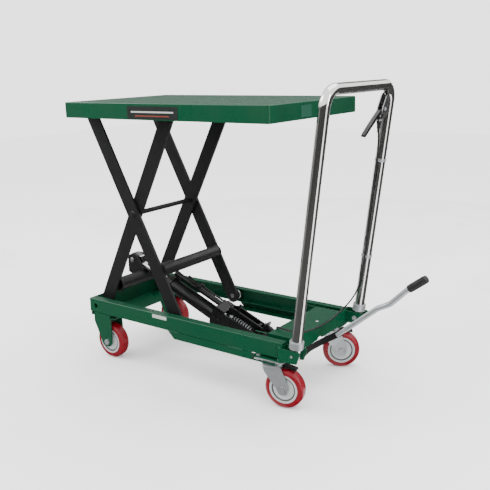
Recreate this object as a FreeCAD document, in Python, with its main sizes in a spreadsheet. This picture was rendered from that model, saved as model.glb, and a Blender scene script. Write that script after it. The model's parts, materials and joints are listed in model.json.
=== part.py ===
import FreeCAD, Part
import math
import os
import re

from FreeCAD import Placement, Rotation, Vector

# Hydraulic scissor lift table on four wheels, raised.
# Row frame: +X towards the push handle, +Z up, Y across, floor at Z = 0.
# Cells measure X from the platform's free end; origin_x moves that datum to the
# middle of the whole object's length.

DRIVING = [
    ("origin_x", 582.25),            # middle of the whole length, from the platform's free end
    ("platform_length", 815), ("platform_width", 500), ("platform_top", 910),
    ("platform_skirt", 50), ("platform_sheet", 3), ("platform_corner", 8),
    ("guide_start", 335), ("guide_height", 47), ("guide_flange", 22),
    ("arm_length", 775), ("arm_width", 50), ("arm_thickness", 8),
    ("outer_arm_y", 150), ("inner_arm_y", 139), ("pivot_x", 17), ("pivot_z", 190),
    ("pivot_drop", 29), ("pivot_pin_radius", 8), ("pin_clearance", 0.05),
    ("roller_radius", 21.2), ("upper_roller_radius", 18.9),
    ("lower_roller_y", 172), ("upper_roller_y", 150),
    ("lower_roller_width", 20), ("upper_roller_width", 15),
    ("rail_start", -12), ("rail_end", 812), ("rail_half_width", 198), ("rail_bottom", 165),
    ("rail_height", 50), ("rail_flange", 28), ("rail_sheet", 3.5),
    ("sub_start", 360), ("sub_slope", 26), ("sub_end", 786), ("sub_depth", 25),
    ("sub_flange", 36), ("window_start", 700), ("window_bottom", 145),
    ("member_bottom", 151), ("member_depth", 116), ("member_sheet", 3.5),
    ("deck_start", 728), ("deck_end", 826), ("deck_half_width", 147), ("deck_sheet", 3),
    ("end_plate_bottom", 169), ("end_plate_half", 174.5),
    ("fixed_wheel_x", 65), ("fixed_wheel_y", 168), ("wheel_radius", 62.5),
    ("tyre_width", 40), ("tyre_crown", 12), ("hub_radius", 46), ("hub_width", 42),
    ("axle_radius", 6), ("fixed_plate_gap", 50), ("fixed_plate_sheet", 5),
    ("caster_x", 763), ("caster_y", 173), ("caster_trail", 40),
    ("caster_near_turn", 10), ("caster_far_turn", 33),
    ("caster_plate_length", 100), ("caster_plate_width", 60), ("caster_plate_sheet", 5),
    ("caster_plate_bottom", 151), ("caster_bolt_x", 38), ("caster_bolt_y", 22),
    ("mount_plate_sheet", 4), ("race_radius", 21), ("fork_crown_radius", 34),
    ("fork_crown_bottom", 131), ("fork_crown_top", 137), ("fork_gap", 46), ("fork_sheet", 3),
    ("handle_half_width", 197), ("handle_foot_x", 862), ("handle_foot_z", 220),
    ("handle_lean", 7.59), ("handle_base_z", 178), ("handle_bar_z", 948),
    ("handle_radius", 16), ("handle_wall", 2), ("handle_bend", 48),
    ("bracket_start", 812), ("bracket_inner", 175), ("bracket_outer", 215),
    ("bracket_sheet", 4), ("bracket_bottom", 169), ("bracket_top", 209),
    ("ram_pin_x", 38), ("ram_pin_z", 322), ("pump_tilt", 22.3),
    ("pump_pivot_x", 690), ("pump_pivot_z", 112), ("pump_plate_y", 38),
    ("inner_tube_x", 80), ("inner_tube_z", 264), ("inner_tube_radius", 23.5),
    ("cross_tube_x", 302), ("cross_tube_z", 352), ("cross_tube_radius", 20.5),
    ("cylinder_radius", 25), ("cylinder_start", 170), ("block_start", 408), ("block_end", 450),
    ("block_half_width", 37), ("block_top", 54), ("block_bottom", -20),
    ("plunger_v", 30), ("plunger_end", 566), ("pedal_pivot_u", 574.3), ("pedal_pivot_v", 66),
    ("ferrule_v", 83), ("pedal_grip_end_x", 1164.7), ("pedal_grip_end_z", 416),
    ("cable_radius", 2.6),
]

doc = FreeCAD.newDocument("ScissorLiftTable")
sheet = doc.addObject("Spreadsheet::Sheet", "Sheet")
for row, (alias, value) in enumerate(DRIVING, start=1):
    sheet.set("A%d" % row, alias)
    sheet.set("B%d" % row, str(value))
    sheet.setAlias("B%d" % row, alias)
doc.recompute()
SIZE = {alias: float(sheet.get(alias)) for alias, _ in DRIVING}
NODES = {}


def linked(text):
    """An expression in which every alias is written as a reference to the sheet."""
    return re.sub(r"[a-z]\w*", lambda m: "Sheet." + m[0] if m[0] in SIZE else m[0], str(text))


def bind(obj, prop, text):
    obj.setExpression(prop, linked(text))


def put(obj, x, y, z, turn=None):
    """Bind an object's place to the sheet, in the row frame."""
    if turn:
        obj.Placement = Placement(Vector(), turn)
    bind(obj, "Placement.Base.x", "(%s) - origin_x" % x)
    bind(obj, "Placement.Base.y", y)
    bind(obj, "Placement.Base.z", z)
    return obj


def local(obj, x, y, z, turn=None):
    """Bind an object's place inside a unit that is itself placed later."""
    if turn:
        obj.Placement = Placement(Vector(), turn)
    for axis, text in zip("xyz", (x, y, z)):
        bind(obj, "Placement.Base." + axis, text)
    return obj


def box(length, width, height):
    made = doc.addObject("Part::Box", "Block")
    bind(made, "Length", length)
    bind(made, "Width", width)
    bind(made, "Height", height)
    return made


ALONG_X = Rotation(Vector(0, 1, 0), 90)
ALONG_Y = Rotation(Vector(1, 0, 0), -90)


def rod(radius, length):
    made = doc.addObject("Part::Cylinder", "Rod")
    bind(made, "Radius", radius)
    bind(made, "Height", length)
    return made


def hexagon(across, height):
    """A hexagonal head or nut, its axis along Z."""
    made = doc.addObject("Part::Prism", "Hexagon")
    made.Polygon = 6
    bind(made, "Circumradius", "(%s) / 1.732" % across)
    bind(made, "Height", height)
    return made


def cut(base, *tools):
    for tool in tools:
        made = doc.addObject("Part::Cut", "Cut")
        made.Base, made.Tool = base, tool
        base = made
    return base


def fuse(*parts):
    made = doc.addObject("Part::MultiFuse", "Joined")
    made.Shapes = list(parts)
    return made


def group(*parts):
    made = doc.addObject("Part::Compound", "Group")
    made.Links = list(parts)
    return made


def mirrored(source):
    """The same piece on the other side of the XZ plane."""
    made = doc.addObject("Part::Mirroring", "Mirror")
    made.Source = source
    made.Base, made.Normal = Vector(), Vector(0, 1, 0)
    return made


def node(obj, name):
    obj.Label = name
    NODES[name] = obj
    return obj


def rounded(points):
    """Lines and arcs round a closed outline of (x, y, corner radius) points."""
    corners = []
    for i, (x, y, radius) in enumerate(points):
        here = Vector(x, y, 0)
        before = Vector(*points[i - 1][:2], 0)
        after = Vector(*points[(i + 1) % len(points)][:2], 0)
        if radius <= 0:
            corners.append((here, None, here))
            continue
        back = (before - here).normalize()
        on = (after - here).normalize()
        half = back.getAngle(on) / 2
        reach = radius / math.tan(half)
        middle = (back + on).normalize()
        near = here + middle * (radius / math.sin(half) - radius)
        corners.append((here + back * reach, near, here + on * reach))
    edges = []
    for i, (start, near, end) in enumerate(corners):
        if near is not None:
            edges.append(Part.ArcOfCircle(start, near, end))
        following = corners[(i + 1) % len(corners)][0]
        if end.distanceToPoint(following) > 1e-6:
            edges.append(Part.LineSegment(end, following))
    return edges


def sketched(name, plane, points, holes=()):
    """A body whose sketch has a rounded outline and round (x, y, radius) holes."""
    body = doc.addObject("PartDesign::Body", name)
    sketch = body.newObject("Sketcher::SketchObject", name + "_outline")
    support = [f for f in body.Origin.OriginFeatures if f.Role == plane][0]
    sketch.AttachmentSupport = (support, [""])
    sketch.MapMode = "FlatFace"
    sketch.addGeometry(rounded(points), False)
    for x, y, radius in holes:
        sketch.addGeometry(Part.Circle(Vector(x, y, 0), Vector(0, 0, 1), radius), False)
    return body, sketch


def pad(name, plane, points, length, holes=()):
    """A plate padded towards +X, +Y or +Z from its sketch plane."""
    body, sketch = sketched(name, plane, points, holes)
    made = body.newObject("PartDesign::Pad", name + "_pad")
    made.Profile = sketch
    made.Reversed = plane == "XZ_Plane"
    bind(made, "Length", length)
    return body


def revolved(name, points):
    """A turned piece: (radius, y, corner) outline revolved about Y."""
    body, sketch = sketched(name, "XY_Plane", points)
    made = body.newObject("PartDesign::Revolution", name + "_turned")
    made.Profile = sketch
    made.ReferenceAxis = ([f for f in body.Origin.OriginFeatures if f.Role == "Y_Axis"][0], [""])
    made.Angle = 360
    return body


def bar(start, end, width, y, thickness):
    """A flat bar with round ends between two (x, z) points."""
    reach = math.hypot(end[0] - start[0], end[1] - start[1])
    made = pad("FlatBar", "XZ_Plane", [
        (-width / 2, -width / 2, width / 2), (reach + width / 2, -width / 2, width / 2),
        (reach + width / 2, width / 2, width / 2), (-width / 2, width / 2, width / 2)], thickness)
    turn = math.degrees(math.atan2(end[1] - start[1], end[0] - start[0]))
    made.Placement = Placement(Vector(start[0], y, start[1]), Rotation(Vector(0, 1, 0), -turn))
    return made


def solid(shape, name):
    made = doc.addObject("Part::Feature", "Solid")
    made.Shape = shape
    return made if name is None else node(made, name)


S = SIZE
RIGHT = S["origin_x"]
PIN = S["pivot_pin_radius"]
FREE = PIN + S["pin_clearance"]
RISE = S["platform_top"] - S["pivot_drop"] - S["pivot_z"]
ARM_ANGLE = math.degrees(math.asin(RISE / S["arm_length"]))
ARM_RUN = S["arm_length"] * math.cos(math.radians(ARM_ANGLE))
UP, ACROSS = Vector(0, 0, 1), Vector(0, 1, 0)


# ---------------------------------------------------------------- base frame
def base_rail():
    """A channel that opens inwards, with a hole that gives access to the arm's pivot."""
    deep, tall, sheet_ = S["rail_flange"], S["rail_height"], S["rail_sheet"]
    channel = pad("Rail", "YZ_Plane", [
        (0, 0, 3), (deep, 0, 0), (deep, sheet_, 0), (sheet_, sheet_, 0),
        (sheet_, tall - sheet_, 0), (deep, tall - sheet_, 0), (deep, tall, 0), (0, tall, 3)],
        "rail_end - rail_start")
    put(channel, "rail_start", "-rail_half_width", "rail_bottom")
    hole = put(rod("pivot_pin_radius + 0.5", "rail_sheet + 2"),
               "pivot_x", "-rail_half_width - 1", "pivot_z", ALONG_Y)
    return cut(channel, hole)


def sub_rail():
    """A shallower angle under the handle half of the rail, windowed for the caster's plate."""
    slope, depth = S["sub_slope"], S["sub_depth"]
    length = S["sub_end"] - S["sub_start"]
    web = pad("SubRail", "XZ_Plane", [
        (0, depth, 0), (slope, 0, 2), (length, 0, 0), (length, depth, 0)], "rail_sheet")
    put(web, "sub_start", "-rail_half_width", "rail_bottom - sub_depth")
    flange = put(box("window_start - sub_start - sub_slope", "sub_flange", "rail_sheet"),
                 "sub_start + sub_slope", "rail_sheet - rail_half_width", "rail_bottom - sub_depth")
    window = put(box("sub_end - window_start + 1", "rail_sheet + 2", "rail_bottom - window_bottom + 1"),
                 "window_start", "-rail_half_width - 1", "window_bottom")
    return cut(fuse(web, flange), window)


def caster_mount():
    """The green pad above a caster's plate, welded to the rail's underside."""
    reach = S["caster_plate_length"] / 2 + 4
    half = S["caster_plate_width"] / 2 + 1
    holes = [(sx * S["caster_bolt_x"], sy * S["caster_bolt_y"], 4.2) for sx in (-1, 1) for sy in (-1, 1)]
    plate = pad("MountPad", "XY_Plane", [
        (-reach, -half, 3), (reach, -half, 3), (reach, half, 0), (-reach, half, 0)],
        "mount_plate_sheet", holes)
    put(plate, "caster_x", "-caster_y", "caster_plate_bottom + caster_plate_sheet")
    top = "(caster_plate_bottom + caster_plate_sheet + mount_plate_sheet)"
    packer = put(box("caster_plate_length + 8", "24", "rail_bottom - " + top),
                 "caster_x - caster_plate_length / 2 - 4", "-caster_y - 12", top)
    return fuse(plate, packer)


def pivot_lug():
    """A lug on the end member that carries one inner arm's pivot pin."""
    width, top = 45, S["pivot_z"] + 17 - S["member_bottom"] - S["member_sheet"]
    hole = (S["pivot_x"] - S["rail_start"] - S["member_sheet"],
            S["pivot_z"] - S["member_bottom"] - S["member_sheet"], PIN)
    lug = pad("PivotLug", "XZ_Plane", [(0, 0, 0), (width, 0, 0), (width, top, 16), (0, top, 0)],
              "arm_thickness", [hole])
    return put(lug, "rail_start + member_sheet", "-inner_arm_y - 2 * arm_thickness - 2",
               "member_bottom + member_sheet")


def end_member():
    """The free end's cross member: an upright web, a low shelf and the two pivot lugs."""
    width = "2 * (rail_half_width - rail_sheet)"
    inner = "2 * (rail_half_width - rail_flange)"
    web = [put(box("member_sheet", inner, "rail_bottom + rail_height - member_bottom"),
               "rail_start", "rail_flange - rail_half_width", "member_bottom"),
           put(box("member_sheet", width, "rail_height - 2 * rail_sheet"),
               "rail_start", "rail_sheet - rail_half_width", "rail_bottom + rail_sheet"),
           put(box("member_sheet", width, "rail_bottom - member_bottom"),
               "rail_start", "rail_sheet - rail_half_width", "member_bottom")]
    shelf = put(box("member_depth", "2 * (fixed_wheel_y + fixed_plate_gap / 2)", "member_sheet"),
                "rail_start", "-fixed_wheel_y - fixed_plate_gap / 2", "member_bottom")
    lug = pivot_lug()
    return fuse(*web, shelf, lug, mirrored(lug))


def pump_lug():
    """A hanger under the deck that carries one end of the pump's pivot pin."""
    drop = S["rail_bottom"] + S["rail_height"] - S["deck_sheet"] - S["pump_pivot_z"]
    lug = pad("PumpLug", "XZ_Plane", [
        (-15, -14, 12), (18, -14, 12), (100, drop - 34, 0), (100, drop, 0),
        (46, drop, 0), (46, 46, 0), (-15, 14, 12)], 5, [(0, 0, PIN)])
    return put(lug, "pump_pivot_x", "-pump_plate_y - 14", "pump_pivot_z")


def handle_deck():
    """The deck between the rails at the handle end, its end plate and the pump hangers."""
    top = "rail_bottom + rail_height - deck_sheet"
    deck = put(box("deck_end - deck_start", "2 * deck_half_width", "deck_sheet"),
               "deck_start", "-deck_half_width", top)
    tall = S["rail_bottom"] + S["rail_height"] - S["end_plate_bottom"]
    half = S["end_plate_half"]
    plate = pad("EndPlate", "YZ_Plane", [
        (-half, 0, 0), (-14, 0, 0), (-10, 7, 2), (10, 7, 2), (14, 0, 0), (half, 0, 0),
        (half, tall, 0), (-half, tall, 0)], 4)
    put(plate, "deck_end - 4", "0", "end_plate_bottom")
    stiffener = put(box("deck_end - deck_start - 4", "4", "30"), "deck_start", "-deck_half_width",
                    top + " - 30")
    lug = pump_lug()
    return fuse(deck, plate, stiffener, mirrored(stiffener), lug, mirrored(lug))


def fixed_wheel_bracket():
    """Two tapered plates and a bridge that hold one wheel's axle."""
    outline = [(5, 100, 0), (5, 65, 20), (26, 20, 40), (43, -21, 18), (85, -21, 20), (86, 48, 30),
               (84, 100, 0)]
    shifted = [(x - S["fixed_wheel_x"], z + 2.5, r) for x, z, r in outline]
    hole = [(0, 0, S["axle_radius"])]
    outer = put(pad("OuterPlate", "XZ_Plane", shifted, "fixed_plate_sheet", hole),
                "fixed_wheel_x", "-rail_half_width", "wheel_radius")
    low = [(x, z if z < 80 else S["member_bottom"] - S["wheel_radius"], r) for x, z, r in shifted]
    inner = put(pad("InnerPlate", "XZ_Plane", low, "fixed_plate_sheet", hole),
                "fixed_wheel_x", "-fixed_wheel_y + fixed_plate_gap / 2", "wheel_radius")
    bridge = put(box("79", "fixed_plate_gap", "fixed_plate_sheet"), "5",
                 "-fixed_wheel_y - fixed_plate_gap / 2", "member_bottom - fixed_plate_sheet")
    return fuse(outer, inner, bridge)


def fixed_wheel_axle():
    """A bolt along Y with a head outside, a nut inside and a spacer on each side of the hub."""
    half = "(fixed_plate_gap / 2 + fixed_plate_sheet)"
    shank = rod("axle_radius - 0.05", "2 * %s" % half)
    local(shank, "0", "-" + half, "0", ALONG_Y)
    head = local(hexagon("19", "7"), "0", "-%s - 7" % half, "0", ALONG_Y)
    nut = local(hexagon("19", "7"), "0", half, "0", ALONG_Y)
    spacers = [local(rod("10", "fixed_plate_gap / 2 - hub_width / 2 - 0.3"), "0", y, "0", ALONG_Y)
               for y in ("-fixed_plate_gap / 2", "hub_width / 2 + 0.3")]
    return fuse(shank, head, nut, *spacers)


def handle_bracket():
    """A channel at the rail's end that stands outside and inside the handle's foot."""
    run, tall = 74, S["bracket_top"] - S["bracket_bottom"]
    outline = [(0, 0, 0), (run - 12, 2, 4), (run, tall - 5, 4), (run - 4, tall, 2), (0, tall, 0)]
    foot_x = S["handle_foot_x"] + (192 - S["handle_foot_z"]) * math.tan(math.radians(S["handle_lean"]))
    hole = [(foot_x - S["bracket_start"], 192 - S["bracket_bottom"], 4)]
    outer = put(pad("OuterCheek", "XZ_Plane", outline, "bracket_sheet", hole),
                "bracket_start", "-bracket_outer - bracket_sheet", "bracket_bottom")
    inner = put(pad("InnerCheek", "XZ_Plane", outline, "bracket_sheet", hole),
                "bracket_start", "-bracket_inner - bracket_sheet", "bracket_bottom")
    back = put(box("bracket_sheet", "bracket_outer - bracket_inner", "bracket_top - bracket_bottom"),
               "bracket_start", "-bracket_outer", "bracket_bottom")
    flare_y = S["bracket_outer"] + S["bracket_sheet"] - S["rail_half_width"]
    flare = put(pad("Flare", "XY_Plane", [(0, 0, 0), (18, -flare_y, 0), (18, 0, 0)],
                    "bracket_top - bracket_bottom"),
                "bracket_start - 18", "-rail_half_width", "bracket_bottom")
    return fuse(outer, inner, back, flare)


# ---------------------------------------------------------------- push handle and cable
def lean_point(y, z):
    """A point of the handle's leaning plane."""
    x = S["handle_foot_x"] + (z - S["handle_foot_z"]) * math.tan(math.radians(S["handle_lean"]))
    return Vector(x - RIGHT, y, z)


def filleted_path(points, radius_of):
    """A wire of straight runs joined by tangent arcs."""
    corners = [(points[0], None, points[0])]
    for i in range(1, len(points) - 1):
        back = (points[i - 1] - points[i]).normalize()
        on = (points[i + 1] - points[i]).normalize()
        half = back.getAngle(on) / 2
        radius = radius_of(i, half)
        reach = radius / math.tan(half)
        middle = (back + on).normalize()
        near = points[i] + middle * (radius / math.sin(half) - radius)
        corners.append((points[i] + back * reach, near, points[i] + on * reach))
    corners.append((points[-1], None, points[-1]))
    edges = []
    for (_, _, end), (start, near, after) in zip(corners, corners[1:]):
        edges.append(Part.LineSegment(end, start).toShape())
        if near is not None:
            edges.append(Part.Arc(start, near, after).toShape())
    return Part.Wire(edges)


def tube_along(wire, start, heading, radius):
    """A round solid swept along a wire."""
    ring = Part.Wire(Part.Circle(start, heading, radius).toShape())
    return wire.makePipeShell([ring], True, False)


def handle_tube():
    """One tube bent to a U: two leaning legs and a level push bar."""
    half = S["handle_half_width"]
    points = [lean_point(-half, S["handle_base_z"]), lean_point(-half, S["handle_bar_z"]),
              lean_point(half, S["handle_bar_z"]), lean_point(half, S["handle_base_z"])]
    wire = filleted_path(points, lambda i, angle: S["handle_bend"])
    heading = points[1] - points[0]
    outer = tube_along(wire, points[0], heading, S["handle_radius"])
    bore = tube_along(wire, points[0], heading, S["handle_radius"] - S["handle_wall"])
    drilled = outer.cut(bore)
    for side in (-1, 1):
        place = lean_point(side * half - 20, 192)
        drilled = drilled.cut(Part.makeCylinder(4, 40, place, ACROSS))
    return drilled


LEAN = Rotation(ACROSS, S["handle_lean"])


def handle_fixings():
    """A clamp collar round each handle foot and the bolt that crosses the bracket."""
    pieces = []
    for side in (-1, 1):
        foot = lean_point(side * S["handle_half_width"], S["bracket_top"] + 4)
        collar = Part.makeCylinder(S["handle_radius"] + 5.5, 21).cut(
            Part.makeCylinder(S["handle_radius"], 21))
        collar.Placement = Placement(foot, LEAN)
        y = side * S["handle_half_width"]
        reach = (S["bracket_outer"] - S["bracket_inner"]) / 2 + S["bracket_sheet"]
        place = lean_point(y, 192) - ACROSS * (reach + 6)
        inside = place if side > 0 else place + ACROSS * (2 * reach + 6)
        bolt = Part.makeCylinder(3.9, 2 * reach, place + ACROSS * 6, ACROSS)
        bolt = bolt.fuse(Part.makeCylinder(7, 6, inside, ACROSS))
        pieces += [collar, bolt]
    return Part.makeCompound(pieces)


def in_lean_plane(points, depth, radius_list=None):
    """A plate of (y, height) points that lies in the handle's leaning plane."""
    radii = radius_list or [0] * len(points)
    edges = [e.toShape() for e in rounded([(y, z, r) for (y, z), r in zip(points, radii)])]
    face = Part.Face(Part.Wire(edges))
    plate = face.extrude(Vector(0, 0, depth))
    origin = lean_point(0, 0)
    normal = Rotation(ACROSS, S["handle_lean"]).multVec(Vector(1, 0, 0))
    rise = Rotation(ACROSS, S["handle_lean"]).multVec(UP)
    turn = Rotation(ACROSS, rise, normal, "ZXY")
    plate.Placement = Placement(origin - normal * (depth / 2), turn)
    return plate


RISE_SCALE = 1 / math.cos(math.radians(S["handle_lean"]))
LEVER_PIVOT = (158, 877)
LEVER_BARREL_TOP = (146, 860)
LEVER_BARREL_FOOT = (147, 842)


def lean_axis():
    return Rotation(ACROSS, S["handle_lean"]).multVec(Vector(1, 0, 0))


def lever_bracket():
    """Two cheeks welded to the handle's far bend, with the cable's adjusting barrel."""
    outline = [(183, 868), (183, 905), (172, 925), (158, 920), (143, 886), (138, 862), (150, 851), (172, 850)]
    cheeks = []
    normal = lean_axis()
    for side in (-1, 1):
        cheek = in_lean_plane([(y, z * RISE_SCALE) for y, z in outline], 2.5,
                              [3, 3, 6, 8, 10, 6, 6, 6])
        cheek.translate(normal * (side * 8.5))
        cheeks.append(cheek)
    bridge = in_lean_plane([(y, z * RISE_SCALE) for y, z in
                            ((181, 874), (181, 893), (175, 893), (175, 874))], 16)
    barrel_top = lean_point(*LEVER_BARREL_TOP)
    barrel_foot = lean_point(*LEVER_BARREL_FOOT)
    barrel = Part.makeCylinder(6, (barrel_top - barrel_foot).Length, barrel_foot,
                               barrel_top - barrel_foot)
    made = cheeks[0].fuse([cheeks[1], bridge, barrel])
    pivot = lean_point(*LEVER_PIVOT)
    return made.cut(Part.makeCylinder(3.05, 30, pivot - normal * 15, normal))


def hand_lever():
    """The release lever: a curved finger blade on its pivot pin."""
    spine = [(158, 877), (138, 868), (112, 850), (84, 829), (56, 806)]
    widths = [13, 13, 12, 11, 9]
    normal = lean_axis()
    blade = None
    for (start, end, w0, w1) in zip(spine, spine[1:], widths, widths[1:]):
        a, b = Vector(*start, 0), Vector(*end, 0)
        side = Vector(-(b - a).y, (b - a).x, 0).normalize()
        corners = [a + side * w0 / 2, b + side * w1 / 2, b - side * w1 / 2, a - side * w0 / 2]
        piece = in_lean_plane([(c.x, c.y * RISE_SCALE) for c in corners], 12)
        knuckle = Part.makeCylinder(w1 / 2, 12, lean_point(*end) - normal * 6, normal)
        piece = piece.fuse(knuckle)
        blade = piece if blade is None else blade.fuse(piece)
    pivot = lean_point(*LEVER_PIVOT)
    blade = blade.fuse(Part.makeCylinder(6.5, 12, pivot - normal * 6, normal))
    return blade.fuse(Part.makeCylinder(3, 21, pivot - normal * 10.5, normal)).removeSplitter()


def pump_point(u, y, v):
    """A point of the tilted pump unit: u along the ram, v square to it."""
    return pump_place().multVec(Vector(u, y, v))


def pump_place():
    return Placement(Vector(S["ram_pin_x"] - RIGHT, 0, S["ram_pin_z"]), Rotation(ACROSS, S["pump_tilt"]))


# The release cable's route from the pump to the hand lever, as (x, y, z) from the platform's end.
CABLE_ROUTE = [
    (664, -4, 156), (692, -26, 164), (710, -62, 190), (722, -92, 217), (750, -110, 225),
    (788, -110, 222), (822, -92, 220), (836, -44, 219), (840, 4, 219), (837, 70, 220),
    (832, 125, 225), (840, 160, 240), (856, 174, 268), (871, 177, 303), (879, 177.5, 335),
    (889, 176.5, 400), (908, 174.5, 565), (921, 174.5, 670), (929, 172, 722), (936, 164, 770),
    (941, 153, 806),
]


def release_cable():
    """The whole outer cable, clipped to the handle's far leg and looped over the deck."""
    start = pump_point(616, 0, S["ferrule_v"])
    finish = lean_point(*LEVER_BARREL_FOOT)
    points = [start] + [Vector(x - RIGHT, y, z) for x, y, z in CABLE_ROUTE] + [finish]
    runs = [(b - a).Length for a, b in zip(points, points[1:])]
    radii = []

    def radius_of(i, half):
        radius = min(0.45 * min(runs[i - 1], runs[i]) * math.tan(half), 400)
        radii.append(round(radius))
        return radius

    wire = filleted_path(points, radius_of)
    tube = tube_along(wire, start, points[1] - points[0], S["cable_radius"])
    expected = math.pi * S["cable_radius"] ** 2 * wire.Length
    print("cable length %.0f mm, volume ratio %.3f, radii %s" % (wire.Length, tube.Volume / expected, radii))
    return tube


def cable_clips():
    """Two bands round the far leg and the cable."""
    clips = []
    for z in (400, 714):
        centre = lean_point(S["handle_half_width"], z)
        band = Part.makeCylinder(S["handle_radius"] + 1.6, 9).cut(
            Part.makeCylinder(S["handle_radius"] + 0.02, 9))
        band.Placement = Placement(centre, LEAN)
        clips.append(band)
    return Part.makeCompound(clips)


# ---------------------------------------------------------------- scissor arms
def arm(y, hole_low, hole_mid, hole_high, rising):
    """One flat arm with three pin holes; an outer arm's top end is trimmed to clear the skirt."""
    half, length = S["arm_width"] / 2, S["arm_length"]
    outline = [(length + half, -half, half), (length + half, half, half)]
    if rising:
        outline = [(-half, -half, half)] + outline + [(-half, half, half)]
    else:
        outline = [(-12.5, -8.5, 8), (1, -13, 0), (14, -20, 0), (14, -half, 0)] + outline
        outline += [(-2, half, 10), (-13, 14, 8)]
    holes = [(0, 0, hole_low), (length / 2, 0, hole_mid), (length, 0, hole_high)]
    body = pad("Arm", "XZ_Plane", outline, "arm_thickness", holes)
    if rising:
        return put(body, "pivot_x", y, "pivot_z", Rotation(ACROSS, -ARM_ANGLE))
    return put(body, "pivot_x", y, "platform_top - pivot_drop", Rotation(ACROSS, ARM_ANGLE))


def both_sides(radius, inner, outer, x, z):
    """A pair of pins along Y, mirrored."""
    near = put(rod(radius, "(%s) - (%s)" % (outer, inner)), x, "-(%s)" % outer, z, ALONG_Y)
    return group(near, mirrored(near))


def inner_tube():
    """The tube that ties the inner arms, with the two ears that take the ram's pin."""
    tube = put(rod("inner_tube_radius", "2 * inner_arm_y"), "inner_tube_x", "-inner_arm_y",
               "inner_tube_z", ALONG_Y)
    bore = put(rod("inner_tube_radius - 4", "2 * inner_arm_y + 2"), "inner_tube_x",
               "-inner_arm_y - 1", "inner_tube_z", ALONG_Y)
    rise = S["ram_pin_z"] - S["inner_tube_z"]
    back = S["ram_pin_x"] - S["inner_tube_x"]
    ear = pad("Ear", "XZ_Plane", [(-24, -4, 0), (back - 22, 10, 0), (back - 22, rise + 22, 20),
                                  (back + 22, rise + 22, 20), (14, 19, 0)], 8, [(back, rise, PIN)])
    put(ear, "inner_tube_x", "-22", "inner_tube_z")
    return fuse(cut(tube, bore), cut(ear, put(rod("inner_tube_radius", "60"), "inner_tube_x", "-30",
                                              "inner_tube_z", ALONG_Y)),
                mirrored(cut(ear, put(rod("inner_tube_radius", "60"), "inner_tube_x", "-30",
                                      "inner_tube_z", ALONG_Y))))


def ram_pin():
    """The pin through both ears, waisted between them."""
    outer = [put(rod("pivot_pin_radius", "9.5"), "ram_pin_x", y, "ram_pin_z", ALONG_Y)
             for y in ("-23.5", "14")]
    waist = put(rod("6", "28"), "ram_pin_x", "-14", "ram_pin_z", ALONG_Y)
    heads = [put(rod("9.5", "2"), "ram_pin_x", y, "ram_pin_z", ALONG_Y) for y in ("-24.5", "22.5")]
    return fuse(outer[0], outer[1], waist, *heads)


def roller(r, width):
    """A plain guide roller with a raised hub face, its axis along Y."""
    half = width / 2
    return revolved("Roller", [(FREE, -half, 0), (r - 2, -half, 0), (r, -half + 2, 0),
                               (r, half - 2, 0), (r - 2, half, 0), (FREE, half, 0)])


# ---------------------------------------------------------------- platform
def platform_pan():
    """A folded sheet with a down-turned skirt all round."""
    length, width, corner = S["platform_length"], S["platform_width"], S["platform_corner"]
    body = pad("Pan", "XY_Plane", [
        (0, -width / 2, corner), (length, -width / 2, corner),
        (length, width / 2, corner), (0, width / 2, corner)], "platform_skirt")
    inside = body.newObject("Sketcher::SketchObject", "Pan_inside")
    inside.AttachmentSupport = ([f for f in body.Origin.OriginFeatures if f.Role == "XY_Plane"][0], [""])
    inside.MapMode = "FlatFace"
    gap, inner = S["platform_sheet"], S["platform_corner"] - S["platform_sheet"]
    inside.addGeometry(rounded([
        (gap, gap - width / 2, inner), (length - gap, gap - width / 2, inner),
        (length - gap, width / 2 - gap, inner), (gap, width / 2 - gap, inner)]), False)
    pocket = body.newObject("PartDesign::Pocket", "Pan_hollow")
    pocket.Profile = inside
    pocket.Reversed = True
    bind(pocket, "Length", "platform_skirt - platform_sheet")
    top_edges = edges_at(body, S["platform_skirt"])
    soft = body.newObject("PartDesign::Fillet", "Pan_edge")
    soft.Base = (pocket, top_edges)
    soft.Radius = 2.5
    return put(body, "0", "0", "platform_top - platform_skirt")


def edges_at(body, height):
    """Names of the outer edges that lie wholly at one height."""
    doc.recompute()
    names = []
    for i, edge in enumerate(body.Shape.Edges, start=1):
        if all(abs(v.Z - height) < 1e-6 for v in edge.Vertexes):
            names.append("Edge%d" % i)
    return names


def platform_guides():
    """Channels for the upper rollers and lugs for the outer arms' pivots."""
    deep, tall, wall = S["guide_flange"], S["guide_height"], 1.8
    low = S["platform_top"] - S["platform_sheet"] - tall
    under = S["platform_top"] - S["pivot_drop"] + S["upper_roller_radius"] + 0.3 - low
    channel = pad("Guide", "YZ_Plane", [
        (0, 0, 0), (deep, 0, 0), (deep, wall, 0), (wall, wall, 0), (wall, under, 0),
        (deep, under, 0), (deep, tall, 0), (0, tall, 0)],
        "platform_length - platform_sheet - guide_start")
    put(channel, "guide_start", "-upper_roller_y - upper_roller_width - 5",
        "platform_top - platform_sheet - guide_height")
    drop = S["pivot_drop"] - S["platform_sheet"]
    lug = pad("TopLug", "XZ_Plane", [
        (-12, drop, 0), (-12, -14, 8), (14, -14, 8), (24, drop, 0)], "arm_thickness", [(0, 0, PIN)])
    put(lug, "pivot_x", "-outer_arm_y - 2 * arm_thickness - 1.5", "platform_top - pivot_drop")
    return group(channel, mirrored(channel), lug, mirrored(lug))


# ---------------------------------------------------------------- wheels and casters
def tyre():
    half, r = S["tyre_width"] / 2, S["wheel_radius"]
    return revolved("Tyre", [(S["hub_radius"], -half + 1, 0), (S["hub_radius"] + 3, -half, 0),
                             (r, -half, S["tyre_crown"]), (r, half, S["tyre_crown"]),
                             (S["hub_radius"] + 3, half, 0), (S["hub_radius"], half - 1, 0)])


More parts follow.
